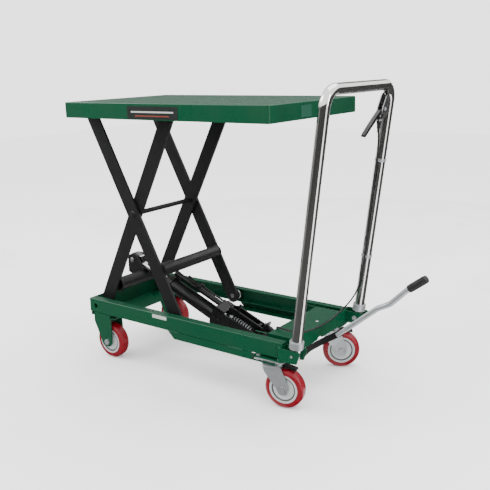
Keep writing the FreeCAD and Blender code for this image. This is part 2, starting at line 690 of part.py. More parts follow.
def hub():
    bore, half, r = S["axle_radius"], S["hub_width"] / 2, S["hub_radius"]
    return revolved("Hub", [
        (bore, -half, 0), (15, -half, 0), (15, -half + 4, 0), (38, -half + 5, 0),
        (39, -half + 2.5, 0), (r, -half + 2.5, 0), (r, half - 2.5, 0), (39, half - 2.5, 0),
        (38, half - 5, 0), (15, half - 4, 0), (15, half, 0), (bore, half, 0)])


def caster_turn(side):
    return Rotation(UP, S["caster_near_turn"] if side < 0 else S["caster_far_turn"])


def in_caster(side, u, v, z):
    """A point of a caster: u along its trail, v across it."""
    offset = caster_turn(side).multVec(Vector(u, v, 0))
    return Vector(S["caster_x"] - RIGHT, side * S["caster_y"], 0) + offset + UP * z


def caster_fork(side):
    """A swivelling fork: crown, two slanted legs, axle bolt with head and nut."""
    crown = local(rod("fork_crown_radius", "fork_crown_top - fork_crown_bottom"),
                  "0", "0", "fork_crown_bottom")
    bridge = local(box("50", "fork_gap + 2 * fork_sheet", "4"), "-18", "-fork_gap / 2 - fork_sheet",
                   "fork_crown_bottom")
    trail, axle, top = S["caster_trail"], S["wheel_radius"], S["fork_crown_bottom"] + 4
    outline = [(-26, top, 3), (-20, top - 20, 30), (trail - 19, axle, 14), (trail - 12, axle - 17, 13),
               (trail + 14, axle - 17, 13), (trail + 20, axle + 10, 22), (34, top, 3)]
    legs = []
    for y in ("-fork_gap / 2 - fork_sheet", "fork_gap / 2"):
        leg = pad("Leg", "XZ_Plane", outline, "fork_sheet")
        legs.append(local(leg, "0", y, "0"))
    half = "(fork_gap / 2 + fork_sheet)"
    shank = local(rod("axle_radius - 0.05", "2 * " + half), "caster_trail", "-" + half,
                  "wheel_radius", ALONG_Y)
    head = local(hexagon("17", "6"), "caster_trail", "-%s - 6" % half, "wheel_radius", ALONG_Y)
    nut = local(hexagon("17", "8"), "caster_trail", half, "wheel_radius", ALONG_Y)
    made = fuse(crown, bridge, legs[0], legs[1], shank, head, nut)
    made.Placement = Placement(in_caster(side, 0, 0, 0), caster_turn(side))
    return made


def brake_pedal(side):
    """A foot tab hinged on the fork behind the wheel's crown."""
    made = pad("Brake", "XZ_Plane", [
        (37, 132, 0), (41, 132, 0), (76, 123, 2), (80, 126, 2), (77, 130, 2), (44, 138, 3), (37, 138, 0)], 20)
    local(made, "0", "-10", "0")
    shell = fuse(made, local(rod("4", "24"), "40", "-12", "135", ALONG_Y))
    shell.Placement = Placement(in_caster(side, 0, 0, 0), caster_turn(side))
    return shell


def caster_top_plate(side):
    """The bolted plate and the upper half of the swivel's ball race."""
    holes = [(sx * S["caster_bolt_x"], sy * S["caster_bolt_y"], 4.2) for sx in (-1, 1) for sy in (-1, 1)]
    half_x, half_y = S["caster_plate_length"] / 2, S["caster_plate_width"] / 2
    plate = pad("TopPlate", "XY_Plane", [
        (-half_x, -half_y, 5), (half_x, -half_y, 5), (half_x, half_y, 5), (-half_x, half_y, 5)],
        "caster_plate_sheet", holes)
    local(plate, "0", "0", "caster_plate_bottom")
    race = local(rod("race_radius", "caster_plate_bottom - fork_crown_top - 0.3"), "0", "0",
                 "fork_crown_top + 0.3")
    made = fuse(plate, race)
    made.Placement = Placement(Vector(S["caster_x"] - RIGHT, side * S["caster_y"], 0), Rotation())
    return made


def caster_bolts():
    """Eight bolts with their heads on the mount pads and nuts under the plates."""
    pieces = []
    for side in (-1, 1):
        for sx in (-1, 1):
            for sy in (-1, 1):
                x = "caster_x + %d * caster_bolt_x" % sx
                y = "%d * caster_y + %d * caster_bolt_y" % (side, sy)
                shank = put(rod("4.15", "caster_plate_sheet + mount_plate_sheet"), x, y,
                            "caster_plate_bottom")
                head = put(hexagon("13", "4.6"), x, y,
                           "caster_plate_bottom + caster_plate_sheet + mount_plate_sheet")
                nut = put(hexagon("13", "5.5"), x, y, "caster_plate_bottom - 5.5")
                pieces.append(fuse(shank, head, nut))
    return group(*pieces)


# ---------------------------------------------------------------- hydraulic unit
def in_pump(obj):
    """Tilt a piece built along the ram's own axis into place."""
    obj.Placement = pump_place()
    return obj


def lift_cylinder():
    """The ram's cylinder with its gland collar, bored for the rod."""
    barrel = local(rod("cylinder_radius", "block_start + 10 - cylinder_start"), "cylinder_start",
                   "0", "0", ALONG_X)
    collar = local(rod("cylinder_radius + 3", "24"), "cylinder_start", "0", "0", ALONG_X)
    bore = local(rod("13.1", "block_start - cylinder_start"), "cylinder_start - 1", "0", "0", ALONG_X)
    return in_pump(cut(fuse(barrel, collar), bore))


def pump_block():
    """The valve block, cut back for the cylinder, tube and plunger that enter it."""
    block = pad("ValveBlock", "XZ_Plane", [
        (S["block_start"], S["block_bottom"], 0), (S["block_end"], S["block_bottom"], 0),
        (S["block_end"], S["block_top"], 2), (S["block_start"], S["block_top"], 2)],
        "2 * block_half_width")
    local(block, "0", "-block_half_width", "0")
    socket = local(rod("cylinder_radius", "10"), "block_start", "0", "0", ALONG_X)
    plunger = local(rod("7.1", "40"), "block_end - 32", "0", "plunger_v", ALONG_X)
    pocket = local(rod("10", "6"), "block_start", "10", "block_top - 12", ALONG_X)
    return in_pump(cut(block, socket, plunger, pocket))


def reservoir_tube():
    """The oil tube above the cylinder, bent down into the gland collar's clamp."""
    tube = local(rod("10", "block_start + 6 - cylinder_start - 16"), "cylinder_start + 16", "10",
                 "block_top - 12", ALONG_X)
    pipe = local(rod("3.5", "block_start - cylinder_start - 60"), "cylinder_start + 60", "26",
                 "block_top - 6", ALONG_X)
    clamp = local(box("10", "36", "8"), "cylinder_start + 120", "-4", "block_top - 5")
    foot = local(box("14", "20", "16"), "cylinder_start + 25", "0", "cylinder_radius")
    return in_pump(fuse(tube, pipe, clamp, foot))


def pump_cheek():
    """One side plate, from the block down to the pump's pivot on the deck hangers."""
    pivot = pump_place().inverse().multVec(
        Vector(S["pump_pivot_x"] - RIGHT, 0, S["pump_pivot_z"]))
    outline = [(406, -12, 4), (520, -14, 60), (pivot.x - 26, pivot.z - 34, 20),
               (pivot.x + 16, pivot.z - 16, 14), (pivot.x + 16, pivot.z + 15, 14),
               (584, 57, 60), (406, 46, 4)]
    plate = pad("Cheek", "XZ_Plane", outline, 4, [(pivot.x, pivot.z, FREE)])
    return local(plate, "0", "-pump_plate_y - 4", "0")


def pump_cheeks():
    """Both side plates and the tie bar between their free ends."""
    near = pump_cheek()
    tie = local(rod("7", "2 * pump_plate_y"), "560", "-pump_plate_y", "-2", ALONG_Y)
    spacers = [local(box("28", "1", "50"), "412", y, "-8") for y in ("-pump_plate_y", "pump_plate_y - 1")]
    return in_pump(fuse(near, mirrored(near), tie, *spacers))


def cable_stop():
    """The yoke in front of the block: two bars, an end wall and the cable's ferrule."""
    bars = []
    for y in ("-17", "12"):
        side = pad("YokeBar", "XZ_Plane", [
            (S["block_end"], 46, 0), (500, 55, 20), (602, 55, 0), (602, 75, 0), (470, 75, 10),
            (S["block_end"], 66, 0)], 5)
        bars.append(local(side, "0", y, "0"))
    wall = local(box("6", "34", "38"), "596", "-17", "55")
    ferrule = local(rod("5.5", "25"), "590", "0", "ferrule_v", ALONG_X)
    pin = local(rod("5", "40"), "pedal_pivot_u", "-20", "pedal_pivot_v", ALONG_Y)
    return in_pump(fuse(bars[0], bars[1], wall, ferrule, pin))


def pump_fittings():
    """The filler plug and set screw on the block, and the plunger's gland nut."""
    plug = local(rod("6", "3"), "438", "15", "block_top")
    screw = local(rod("2.5", "2"), "446", "-8", "block_top")
    gland = local(rod("15", "22"), "block_end", "0", "plunger_v", ALONG_X)
    hole = local(rod("7.1", "24"), "block_end - 1", "0", "plunger_v", ALONG_X)
    return in_pump(group(plug, screw, cut(gland, hole)))


def ram_rod():
    """The ram: a chromed rod, a locknut and a slotted eye for the waisted pin."""
    shaft = local(rod("13", "262"), "22", "0", "0", ALONG_X)
    lock = local(rod("13.6", "5"), "44", "0", "0", ALONG_X)
    eye = pad("Eye", "XZ_Plane", [(-20, -25, 18), (22, -25, 8), (47, -13, 0), (47, 13, 0),
                                  (22, 25, 8), (-20, 25, 18)], 22)
    local(eye, "0", "-11", "0")
    slot = pad("EyeSlot", "XZ_Plane", [(-11, -18, 9), (12, -18, 9), (12, 18, 9), (-11, 18, 9)], 24)
    local(slot, "0", "-12", "0")
    return in_pump(cut(fuse(shaft, lock, eye), slot))


def pump_plunger():
    """The plunger with its spring seat and a small striking tip."""
    shaft = local(rod("7", "plunger_end - 6 - 440"), "440", "0", "plunger_v", ALONG_X)
    seat = local(rod("12", "4"), "plunger_end - 12", "0", "plunger_v", ALONG_X)
    tip = local(rod("4", "6"), "plunger_end - 6", "0", "plunger_v", ALONG_X)
    return in_pump(fuse(shaft, seat, tip))


def plunger_spring():
    """The return spring round the plunger."""
    start, length = S["block_end"] + 22.2, S["plunger_end"] - 12.2 - S["block_end"] - 22.2
    turns, wire = 8, 1.5
    helix = Part.makeHelix((length - 2 * wire) / turns, length - 2 * wire, 9.5)
    ring = Part.Wire(Part.Circle(Vector(9.5, 0, 0), ACROSS, wire).toShape())
    coil = Part.Wire(helix.Edges).makePipeShell([ring], True, True)
    coil.Placement = pump_place().multiply(
        Placement(Vector(start + wire, 0, S["plunger_v"]), ALONG_X))
    return coil


def release_arm():
    """The arm on the lowering valve that the cable pulls: pivot, rod, nut and hook."""
    hinge = local(rod("5", "23.4"), "480", "-11.7", "60", ALONG_Y)
    stem = local(rod("3.5", "33"), "480", "0", "60")
    nut = local(hexagon("12", "7"), "480", "0", "79")
    hook = local(rod("2", "12"), "480", "0", "93", ALONG_X)
    return in_pump(fuse(hinge, stem, nut, hook))


# ---------------------------------------------------------------- foot pedal
PEDAL_BENDS = [(1022, 305), (1062, 326), (1112, 376)]
PEDAL_SPINE = [(594, 98), (650, 86), (735, 86), (764, 102), (786, 126), (833, 160), (900, 203)]


def pedal_lever():
    """The black lever: a leg that presses the plunger and a bar that runs out under the deck."""
    pivot = pump_point(S["pedal_pivot_u"], 0, S["pedal_pivot_v"])
    foot = pump_point(S["pedal_pivot_u"], 0, 20)
    spine = [(foot.x, foot.z)] + [(x - RIGHT, z) for x, z in PEDAL_SPINE]
    leg = bar((pivot.x, pivot.z), spine[0], 15.4, -8, 16)
    bars = [bar(a, b, 19, -5, 10) for a, b in zip(spine, spine[1:])]
    hole = doc.addObject("Part::Cylinder", "PedalBore")
    hole.Radius, hole.Height = 5.05, 30
    hole.Placement = Placement(Vector(pivot.x, -15, pivot.z), ALONG_Y)
    return cut(fuse(leg, *bars), hole)


def pedal_run():
    """The centreline of the pedal's tube: a shallow S from the lever's end to the grip."""
    end = (S["pedal_grip_end_x"], S["pedal_grip_end_z"])
    return [Vector(x - RIGHT, 0, z) for x, z in [PEDAL_SPINE[-1], *PEDAL_BENDS, end]]


def pedal_tube():
    """The plated tube, slotted over the lever's end."""
    points = pedal_run()
    heading = (points[1] - points[0]).normalize()
    points[0] = points[0] - heading * 14
    wire = filleted_path(points, lambda i, half: 55)
    tube = tube_along(wire, points[0], heading, 8.5)
    slot = Part.makeBox(64, 10.1, 60, Vector(-40, -5.05, -30))
    slot.Placement = Placement(points[0] + heading * 14, Rotation(Vector(1, 0, 0), heading)).multiply(
        Placement(Vector(-5, 0, 0), Rotation()))
    return tube.cut(slot)


def pedal_grip():
    """The rubber sleeve on the tube's end."""
    points = pedal_run()
    heading = (points[-1] - points[-2]).normalize()
    sleeve = Part.makeCylinder(11.5, 62, points[-1] - heading * 56, heading)
    return sleeve.cut(Part.makeCylinder(8.5, 66, points[-1] - heading * 66, heading))


# ---------------------------------------------------------------- the assembly
def both(name, piece):
    node(piece, name + "_near")
    node(mirrored(piece), name + "_far")


def pair(name, piece):
    node(group(piece, mirrored(piece)), name)


def build_base():
    both("base_rail", base_rail())
    low, mount = sub_rail(), caster_mount()
    node(group(low, mirrored(low), mount, mirrored(mount)), "sub_rails")
    node(end_member(), "end_member")
    node(handle_deck(), "handle_deck")
    node(put(rod("pivot_pin_radius", "2 * pump_plate_y + 28"), "pump_pivot_x", "-pump_plate_y - 14",
             "pump_pivot_z", ALONG_Y), "pump_pivot_pin")
    node(both_sides("pivot_pin_radius", "inner_arm_y", "inner_arm_y + 2 * arm_thickness + 2",
                    "pivot_x", "pivot_z"), "arm_pivot_pins")
    pair("fixed_wheel_brackets", fixed_wheel_bracket())
    pair("fixed_wheel_axles", put(fixed_wheel_axle(), "fixed_wheel_x", "-fixed_wheel_y", "wheel_radius"))
    pair("handle_brackets", handle_bracket())


def build_handle():
    solid(handle_tube(), "push_handle")
    solid(handle_fixings(), "handle_fixings")
    solid(lever_bracket(), "lever_bracket")
    solid(hand_lever(), "hand_lever")
    solid(release_cable(), "release_cable")
    solid(cable_clips(), "cable_clips")


def build_scissors():
    both("inner_arm", arm("-inner_arm_y - arm_thickness", FREE, PIN, PIN, True))
    both("outer_arm", arm("-outer_arm_y - arm_thickness", PIN, FREE, PIN, False))
    node(inner_tube(), "inner_tube")
    node(ram_pin(), "ram_pin")
    node(put(rod("pivot_pin_radius", "2 * (outer_arm_y + arm_thickness)"),
             "pivot_x + %r" % (ARM_RUN / 2), "-outer_arm_y - arm_thickness",
             "pivot_z + %r" % (RISE / 2), ALONG_Y), "centre_rod")
    far_x = "pivot_x + %r" % ARM_RUN
    node(both_sides("pivot_pin_radius", "inner_arm_y", "upper_roller_y + upper_roller_width + 1",
                    far_x, "platform_top - pivot_drop"), "upper_roller_pins")
    node(both_sides("pivot_pin_radius", "outer_arm_y", "lower_roller_y + lower_roller_width + 1",
                    far_x, "pivot_z"), "lower_roller_pins")
    node(put(rod("cross_tube_radius", "2 * outer_arm_y"), "cross_tube_x", "-outer_arm_y",
             "cross_tube_z", ALONG_Y), "outer_cross_tube")
    high = "platform_top - pivot_drop"
    for name, side in (("near", -1), ("far", 1)):
        lower = roller(S["roller_radius"], S["lower_roller_width"])
        spot = "%d * (lower_roller_y + lower_roller_width / 2)" % side
        node(put(lower, far_x, spot, "pivot_z"), "lower_roller_" + name)
        upper = roller(S["upper_roller_radius"], S["upper_roller_width"])
        spot = "%d * (upper_roller_y + upper_roller_width / 2)" % side
        node(put(upper, far_x, spot, high), "upper_roller_" + name)


def build_platform():
    node(platform_pan(), "platform_pan")
    node(platform_guides(), "platform_guides")
    node(both_sides("pivot_pin_radius - pin_clearance", "outer_arm_y",
                    "outer_arm_y + 2 * arm_thickness + 1.5", "pivot_x",
                    "platform_top - pivot_drop"), "platform_pivot_pins")


def build_wheels():
    for name, side in (("near", -1), ("far", 1)):
        fixed = ("fixed_wheel_x", "%d * fixed_wheel_y" % side, "wheel_radius")
        node(put(tyre(), *fixed), "fixed_tyre_" + name)
        node(put(hub(), *fixed), "fixed_hub_" + name)
        spot = Placement(in_caster(side, S["caster_trail"], 0, S["wheel_radius"]), caster_turn(side))
        for make, label in ((tyre, "caster_tyre_"), (hub, "caster_hub_")):
            made = make()
            made.Placement = spot
            node(made, label + name)
        node(caster_fork(side), "caster_fork_" + name)
        node(brake_pedal(side), "brake_pedal_" + name)
    node(group(caster_top_plate(-1), caster_top_plate(1)), "caster_top_plates")
    node(caster_bolts(), "caster_bolts")


def build_hydraulics():
    node(lift_cylinder(), "lift_cylinder")
    node(pump_block(), "pump_block")
    node(reservoir_tube(), "reservoir_tube")
    node(pump_cheeks(), "pump_side_plates")
    node(cable_stop(), "cable_stop")
    node(pump_fittings(), "pump_fittings")
    node(ram_rod(), "ram_rod")
    node(pump_plunger(), "pump_plunger")
    solid(plunger_spring(), "plunger_spring")
    node(release_arm(), "release_arm")


def build_pedal():
    node(pedal_lever(), "pedal_lever")
    solid(pedal_tube(), "pedal_tube")
    solid(pedal_grip(), "pedal_grip")


for build in (build_base, build_handle, build_scissors, build_platform, build_wheels,
              build_hydraulics, build_pedal):
    build()
doc.recompute()

failed = [o.Label for o in doc.Objects if "Invalid" in o.State or "Error" in o.State]
for name, obj in NODES.items():
    if obj.Shape.isNull() or not obj.Shape.isValid() or not obj.Shape.Solids:
        failed.append(name)
if failed:
    raise RuntimeError("these objects failed: " + ", ".join(sorted(set(failed))))

os.makedirs("parts", exist_ok=True)
for name, obj in NODES.items():
    obj.Shape.exportStep("parts/%s.step" % name)

whole = Part.makeCompound([obj.Shape for obj in NODES.values()]).BoundBox
print("%d nodes" % len(NODES))
print("x %.1f to %.1f, y %.1f to %.1f, z %.1f to %.1f" % (
    whole.XMin, whole.XMax, whole.YMin, whole.YMax, whole.ZMin, whole.ZMax))
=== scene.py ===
import json
import math

import bpy
from mathutils import Matrix, Vector


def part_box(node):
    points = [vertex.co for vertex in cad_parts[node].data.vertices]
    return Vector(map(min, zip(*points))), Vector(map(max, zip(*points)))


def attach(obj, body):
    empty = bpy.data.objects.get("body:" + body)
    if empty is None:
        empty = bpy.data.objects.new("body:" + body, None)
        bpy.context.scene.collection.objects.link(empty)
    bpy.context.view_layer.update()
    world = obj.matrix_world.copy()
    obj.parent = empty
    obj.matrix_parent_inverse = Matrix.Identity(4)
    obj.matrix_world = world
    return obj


# A wheeled hydraulic scissor lift table. The CAD frame carries every working part;
# this file gives each part its finish and adds welds, fasteners, labels and mouldings.

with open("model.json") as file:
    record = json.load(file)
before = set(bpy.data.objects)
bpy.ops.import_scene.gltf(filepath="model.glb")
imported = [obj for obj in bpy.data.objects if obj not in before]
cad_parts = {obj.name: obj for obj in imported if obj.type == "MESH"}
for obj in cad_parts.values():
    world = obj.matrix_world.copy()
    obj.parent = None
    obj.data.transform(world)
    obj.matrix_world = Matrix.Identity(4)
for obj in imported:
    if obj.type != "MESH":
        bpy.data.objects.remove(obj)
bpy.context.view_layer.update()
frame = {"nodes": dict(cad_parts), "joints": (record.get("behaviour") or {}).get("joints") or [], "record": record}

BODIES = ("near", "far")
SIDE = {"near": -1, "far": 1}
X, Y, Z = Vector((1, 0, 0)), Vector((0, 1, 0)), Vector((0, 0, 1))
JOINTS = {joint["name"]: joint for joint in frame["joints"]}

# Sizes in metres.
WELD = 0.0022
WELD_INSET = 0.0012
INNER_TUBE_RADIUS = 0.0235
DECK_SCREW = (0.2197, 0.0236)
GROOVE_RADIUS, RIM_RADIUS, BEARING_RADIUS = 0.0372, 0.0448, 0.0108
TYRE_LINE_RADIUS = 0.0622
GRIP_RADIUS, PEDAL_TUBE_RADIUS = 0.0115, 0.0085
LEG_RADIUS = 0.016


def middle(node):
    low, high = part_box(node)
    return (low + high) / 2


# ---------------------------------------------------------------- materials
class Graph:
    """A material's node tree with short calls for the few nodes this scene uses."""

    def __init__(self, name):
        self.material = bpy.data.materials.new(name)
        self.material.use_nodes = True
        self.tree = self.material.node_tree
        self.shader = self.tree.nodes["Principled BSDF"]
        self.place = self.tree.nodes.new("ShaderNodeTexCoord").outputs["Object"]

    def noise(self, scale, detail=4.0, rough=0.55):
        made = self.tree.nodes.new("ShaderNodeTexNoise")
        made.inputs["Scale"].default_value = scale
        made.inputs["Detail"].default_value = detail
        made.inputs["Roughness"].default_value = rough
        self.tree.links.new(self.place, made.inputs["Vector"])
        return made.outputs["Fac"]

    def ramp(self, value, stops):
        made = self.tree.nodes.new("ShaderNodeValToRGB")
        ramp = made.color_ramp
        while len(ramp.elements) < len(stops):
            ramp.elements.new(0.5)
        for element, (spot, colour) in zip(ramp.elements, stops):
            element.position = spot
            element.color = (*colour, 1)
        self.tree.links.new(value, made.inputs["Fac"])
        return made.outputs["Color"]

    def spread(self, value, low, high):
        made = self.tree.nodes.new("ShaderNodeMapRange")
        made.inputs["From Min"].default_value = 0.3
        made.inputs["From Max"].default_value = 0.7
        made.inputs["To Min"].default_value = low
        made.inputs["To Max"].default_value = high
        self.tree.links.new(value, made.inputs["Value"])
        return made.outputs["Result"]

    def bump(self, value, strength, distance=0.0006):
        made = self.tree.nodes.new("ShaderNodeBump")
        made.inputs["Strength"].default_value = strength
        made.inputs["Distance"].default_value = distance
        self.tree.links.new(value, made.inputs["Height"])
        self.tree.links.new(made.outputs["Normal"], self.shader.inputs["Normal"])

    def join(self, output, socket):
        self.tree.links.new(output, self.shader.inputs[socket])


def tint(colour, factor):
    return tuple(min(1.0, c * factor) for c in colour)


def finish(name, colour, rough, metal=0.0, grain=9, relief=0.12, relief_scale=260, vary=0.16,
           specular=0.5):
    """A slightly uneven finish: cloudy colour, uneven gloss and, unless relief is 0, a fine relief."""
    g = Graph(name)
    stops = [(0.3, tint(colour, 1 - vary)), (0.55, colour), (0.75, tint(colour, 1 + vary))]
    g.join(g.ramp(g.noise(grain, 5.0, 0.6), stops), "Base Color")
    g.join(g.spread(g.noise(grain * 3.1, 4.0), rough * 0.8, min(1.0, rough * 1.25)), "Roughness")
    if relief:
        g.bump(g.noise(relief_scale, 2.0), relief)
    g.shader.inputs["Metallic"].default_value = metal
    g.shader.inputs["Specular IOR Level"].default_value = specular
    return g.material


LOOK = {
    "green_paint": finish("green_paint_look", (0.0001, 0.042, 0.0175), 0.3, relief=0.0, grain=3,
                          vary=0.03, specular=0.24),
    "arm_paint": finish("arm_paint_look", (0.006, 0.006, 0.0065), 0.42, relief=0.05, vary=0.12,
                        specular=0.3),
    "black_paint": finish("black_paint_look", (0.0028, 0.0028, 0.0032), 0.34, relief=0.05, vary=0.15,
                          specular=0.35),
    "chrome": finish("chrome_look", (0.60, 0.59, 0.58), 0.08, metal=1.0, relief=0.02,
                     relief_scale=60, vary=0.05),
    "zinc": finish("zinc_look", (0.38, 0.40, 0.41), 0.36, metal=0.72, grain=38, relief=0.08, vary=0.12),
    "steel": finish("steel_look", (0.36, 0.36, 0.37), 0.36, metal=1.0, grain=30, relief=0.12, vary=0.2),
    "rubber": finish("rubber_look", (0.004, 0.004, 0.004), 0.62, relief=0.3, relief_scale=420, vary=0.3),
    "red_tyre": finish("red_tyre_look", (0.15, 0.0006, 0.006), 0.3, specular=0.35, grain=14, relief=0.04,
                       vary=0.14),
    "hub_grey": finish("hub_grey_look", (0.32, 0.34, 0.34), 0.5, grain=22, relief=0.1, vary=0.06),
    "black_plastic": finish("black_plastic_look", (0.005, 0.005, 0.005), 0.46, relief=0.2, vary=0.2,
                            specular=0.3),
}
LABEL_DARK = finish("label_dark_look", (0.006, 0.010, 0.008), 0.34, relief=0.02, vary=0.1)
LABEL_LIGHT = finish("label_light_look", (0.34, 0.35, 0.33), 0.4, relief=0.02, vary=0.05)
LABEL_FAINT = finish("label_faint_look", (0.006, 0.060, 0.034), 0.36, relief=0.02, vary=0.08)
LABEL_RED = finish("label_red_look", (0.16, 0.022, 0.012), 0.4, relief=0.02, vary=0.1)
# Painted shade: a near-black colour for the rings that stand for the shade inside each hub groove.
GROOVE_SHADE = finish("hub_groove_shade_look", (0.05, 0.05, 0.048), 0.6, relief=0.1, vary=0.1)


for entry in frame["record"]["subparts"]:
    node = frame["nodes"][entry["node"]]
    node.data.materials.clear()
    node.data.materials.append(LOOK[entry["material_slot"]])


# ---------------------------------------------------------------- shapes
def mesh_object(name, verts, faces, look, smooth=True):
    mesh = bpy.data.meshes.new(name)
    mesh.from_pydata([tuple(v) for v in verts], [], faces)
    mesh.validate()
    mesh.update()
    obj = bpy.data.objects.new(name, mesh)
    bpy.context.scene.collection.objects.link(obj)
    mesh.materials.append(LOOK[look] if isinstance(look, str) else look)
    mesh.polygons.foreach_set("use_smooth", [smooth] * len(mesh.polygons))
    return obj


def basis(axis):
    """Two directions square to an axis and to each other."""
    side = axis.cross(Z if abs(axis.z) < 0.9 else X).normalized()
    return side, axis.cross(side).normalized()


def turned(name, look, origin, axis, profile, sides=48, closed=False):
    """A solid of revolution from (distance along axis, radius) points."""
    axis = axis.normalized()
    side, up = basis(axis)
    verts, faces = [], []
    for along, radius in profile:
        for i in range(sides):
            angle = 2 * math.pi * i / sides
            spoke = side * math.cos(angle) + up * math.sin(angle)
            verts.append(origin + axis * along + spoke * radius)
    rings = len(profile)
    for ring in range(rings if closed else rings - 1):
        here, there = ring * sides, (ring + 1) % rings * sides
        for i in range(sides):
            j = (i + 1) % sides
            faces.append((here + i, here + j, there + j, there + i))
    if not closed:
        faces.append(tuple(reversed(range(sides))))
        faces.append(tuple(range((rings - 1) * sides, rings * sides)))
    obj = mesh_object(name, verts, faces, look)
    edge = obj.modifiers.new("Sharp", "EDGE_SPLIT")
    edge.split_angle = math.radians(40)
    return obj


def ring(name, look, centre, axis, radius, thick, sides=64):
    """A torus round an axis."""
    profile = [(thick * math.sin(a), radius + thick * math.cos(a))
               for a in (2 * math.pi * i / 12 for i in range(12))]
    return turned(name, look, centre, axis, profile, sides, closed=True)


def hex_head(name, look, base, axis, across, height):
    """A chamfered hexagonal head."""
    r = across / math.sqrt(3)
    return turned(name, look, base, axis,
                  [(0, r), (height * 0.82, r), (height, r * 0.9)], sides=6)


def dome(name, look, base, axis, radius, height):
    """A shallow round head."""
    steps = 7
    profile = [(height * math.sin(a), radius * math.cos(a))
               for a in (math.pi / 2 * i / steps for i in range(steps))]
    profile.append((height, radius * 0.04))
    return turned(name, look, base, axis, [(-0.0004, radius)] + profile, sides=32)


def block(name, look, low, high):
    """A box between two corners."""
    corners = [Vector((x, y, z)) for x in (low[0], high[0]) for y in (low[1], high[1])
               for z in (low[2], high[2])]
    faces = [(0, 1, 3, 2), (4, 6, 7, 5), (0, 4, 5, 1), (2, 3, 7, 6), (0, 2, 6, 4), (1, 5, 7, 3)]
    return mesh_object(name, corners, faces, look, smooth=False)


def bead(name, look, start, end, radius=0.0022):
    """A weld bead: a lumpy round strip between two points."""
    run = end - start
    count = max(4, int(run.length / 0.004))
    profile = [(run.length * i / count, radius * (1 + 0.16 * (-1) ** i)) for i in range(count + 1)]
    return turned(name, look, start, run, profile, sides=12)


# ---------------------------------------------------------------- welds
def tube_welds(node, body, radius, prefix):
    """A bead round each end of a cross tube where it meets its arms."""
    low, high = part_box(node)
    centre = (low + high) / 2
    for side, y in (("near", low.y), ("far", high.y)):
        spot = Vector((centre.x, y - math.copysign(WELD_INSET, y), centre.z))
        seam = ring("%s_weld_%s" % (prefix, side), "arm_paint", spot, Y, radius, WELD)
        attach(seam, body)


tube_low, tube_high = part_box("outer_cross_tube")
tube_welds("outer_cross_tube", "outer_arms", (tube_high.z - tube_low.z) / 2, "cross_tube")
ear_low, ear_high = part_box("inner_tube")
inner_centre = Vector((ear_high.x - INNER_TUBE_RADIUS, 0, ear_low.z + INNER_TUBE_RADIUS))
for side, sign in SIDE.items():
    spot = Vector((inner_centre.x, sign * (ear_high.y - WELD_INSET), inner_centre.z))
    seam = ring("inner_tube_weld_" + side, "arm_paint", spot, Y, INNER_TUBE_RADIUS, WELD)
    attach(seam, "inner_arms")


def base_welds():
    """Beads where the end member, deck and pads meet the rails."""
    for side, sign in SIDE.items():
        low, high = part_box("base_rail_" + side)
        outer = sign * max(abs(low.y), abs(high.y))
        inner = outer - sign * 0.0037
        deck_low, deck_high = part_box("handle_deck")
        starts = [
            ("member_weld_", Vector((low.x + 0.0032, inner, low.z + 0.004)),
             Vector((low.x + 0.0032, inner, high.z - 0.004))),
            ("sub_rail_weld_", Vector((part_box("sub_rails")[0].x + 0.004, outer, low.z)),
             Vector((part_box("sub_rails")[0].x + 0.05, outer, low.z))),
            ("sub_rail_weld_end_", Vector((low.x + 0.62, outer, low.z)),
             Vector((low.x + 0.68, outer, low.z))),
            ("bracket_weld_", Vector((high.x + 0.0002, inner, low.z + 0.006)),
             Vector((high.x + 0.0002, inner, high.z - 0.008))),
            ("deck_weld_", Vector((deck_low.x + 0.006, sign * 0.1462, deck_high.z - 0.0015)),
             Vector((deck_low.x + 0.05, sign * 0.1462, deck_high.z - 0.0015))),
        ]
        for name, start, end in starts:
            seam = bead(name + side, "green_paint", start, end, 0.0018)
            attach(seam, "base")


base_welds()


def deck_screw():
    """The small screw head on the deck."""
    _, deck_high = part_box("handle_deck")
    head = dome("deck_screw", "zinc", Vector((*DECK_SCREW, deck_high.z)), Z, 0.0055, 0.002)
    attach(head, "base")


deck_screw()


# ---------------------------------------------------------------- labels
def labels():
    """Plain plates where the object carries its stickers."""
    low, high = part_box("platform_pan")
    face = low.y - 0.0003
    length = high.x - low.x
    left = low.x + 0.355 * length
    right = low.x + 0.606 * length
    z0, z1 = low.z + 0.003, high.z - 0.009
    plate = block("skirt_plate", LABEL_DARK, (left, face - 0.0004, z0), (right, face + 0.0004, z1))
    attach(plate, "platform")
    width, tall = right - left, z1 - z0
    stripe = block("skirt_plate_stripe", LABEL_RED,
                   (left + 0.16 * width, face - 0.0008, z0 + 0.2 * tall),
                   (right - 0.16 * width, face - 0.0002, z0 + 0.29 * tall))
    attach(stripe, "platform")
    band = block("skirt_plate_band", LABEL_LIGHT,
                 (left + 0.08 * width, face - 0.0008, z0 + 0.5 * tall),
                 (right - 0.08 * width, face - 0.0002, z0 + 0.62 * tall))
    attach(band, "platform")
    side = high.x + 0.0003
    patch = block("end_patch", LABEL_FAINT, (side - 0.0004, -0.088, low.z + 0.006),
                  (side + 0.0004, -0.030, high.z - 0.010))
    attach(patch, "platform")
    rail_low, rail_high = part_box("base_rail_near")
    sticker = block("rail_sticker", LABEL_LIGHT,
                    (rail_low.x + 0.305, rail_low.y - 0.0005, rail_high.z - 0.016),
                    (rail_low.x + 0.368, rail_low.y + 0.0001, rail_high.z - 0.004))
    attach(sticker, "base")


labels()


